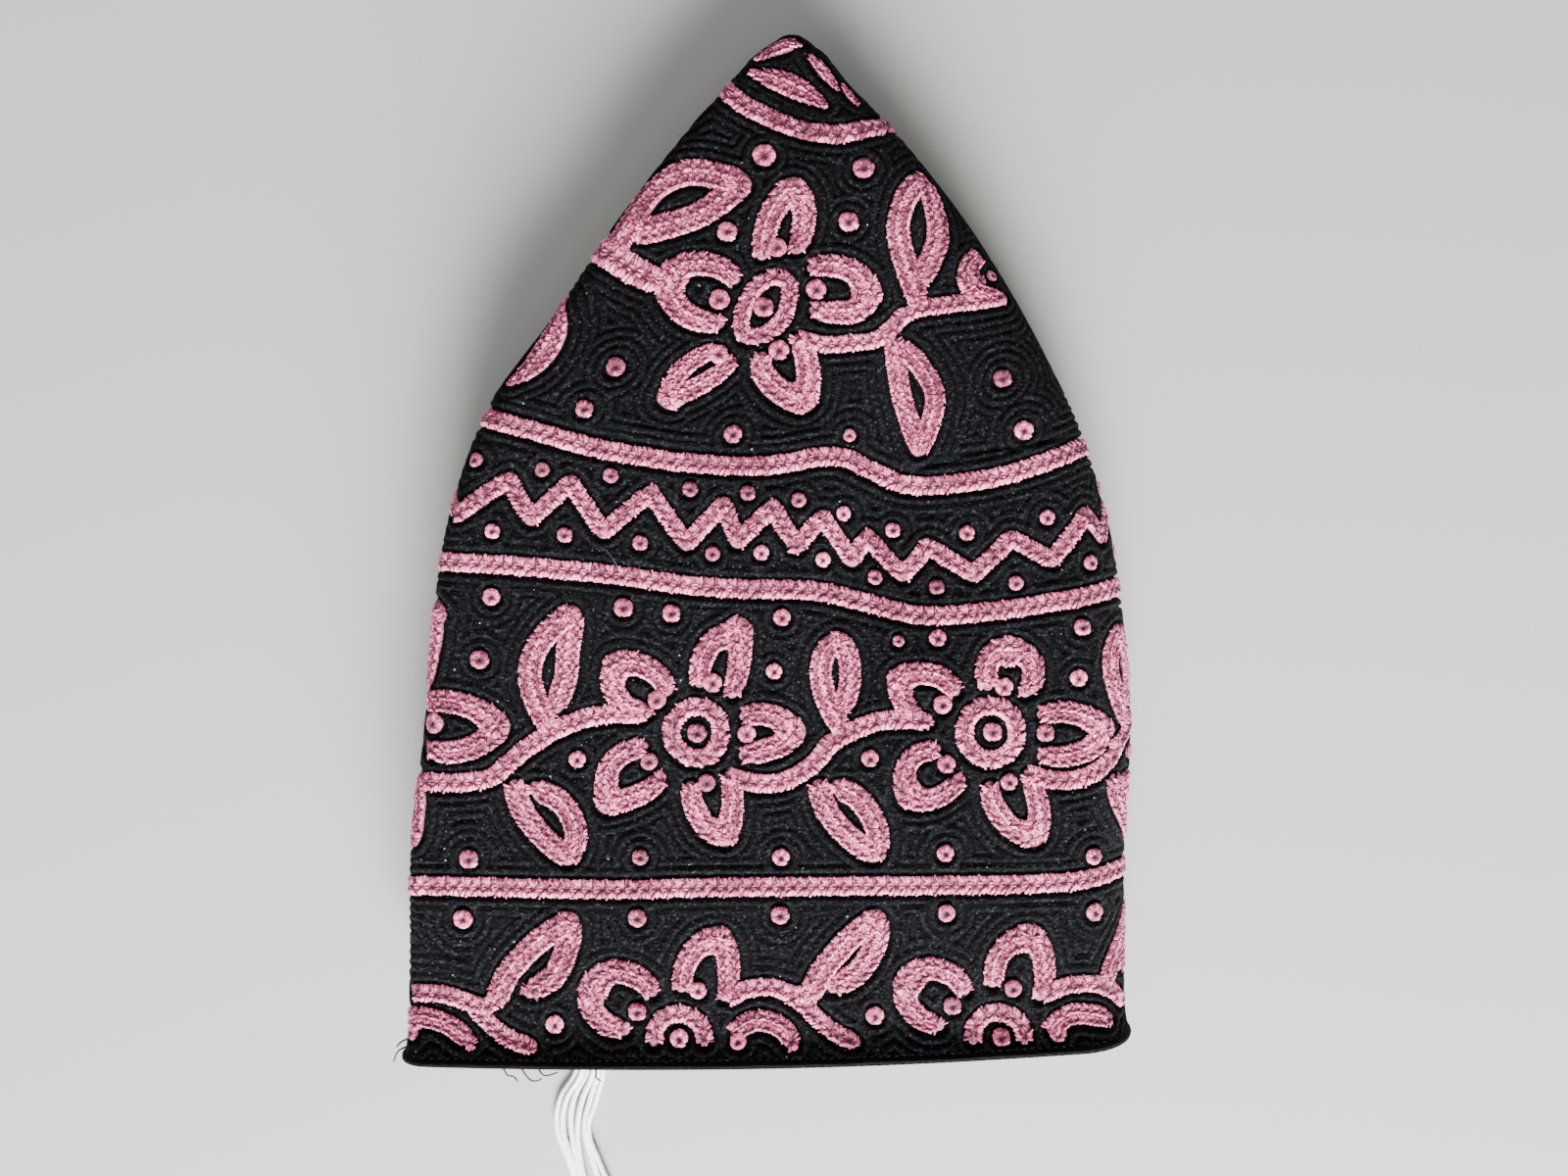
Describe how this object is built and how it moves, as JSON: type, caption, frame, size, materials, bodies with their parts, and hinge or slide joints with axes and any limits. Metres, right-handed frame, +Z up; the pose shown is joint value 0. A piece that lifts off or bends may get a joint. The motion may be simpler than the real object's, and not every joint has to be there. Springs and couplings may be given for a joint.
{
  "type": "prayer cap",
  "caption": "Soft round cap with an upright quilted side wall and a flat crown, worn in prayer, shown folded in four.",
  "frame": {"origin": "under the middle of the folded cap's own box, on the surface that it rests on", "axes": "+X towards the thick spine of the fold, +Y towards the middle of the crown, +Z up"},
  "size_m": [0.1458, 0.2432, 0.028],
  "materials": {
    "quilted_cotton": "matte",
    "cotton_tape": "matte",
    "white_thread": "matte"
  },
  "bodies": {
    "root": {"crown": "quilted_cotton", "side_wall": "quilted_cotton", "hem_tape": "cotton_tape", "loose_threads": "white_thread"}
  },
  "joints": []
}
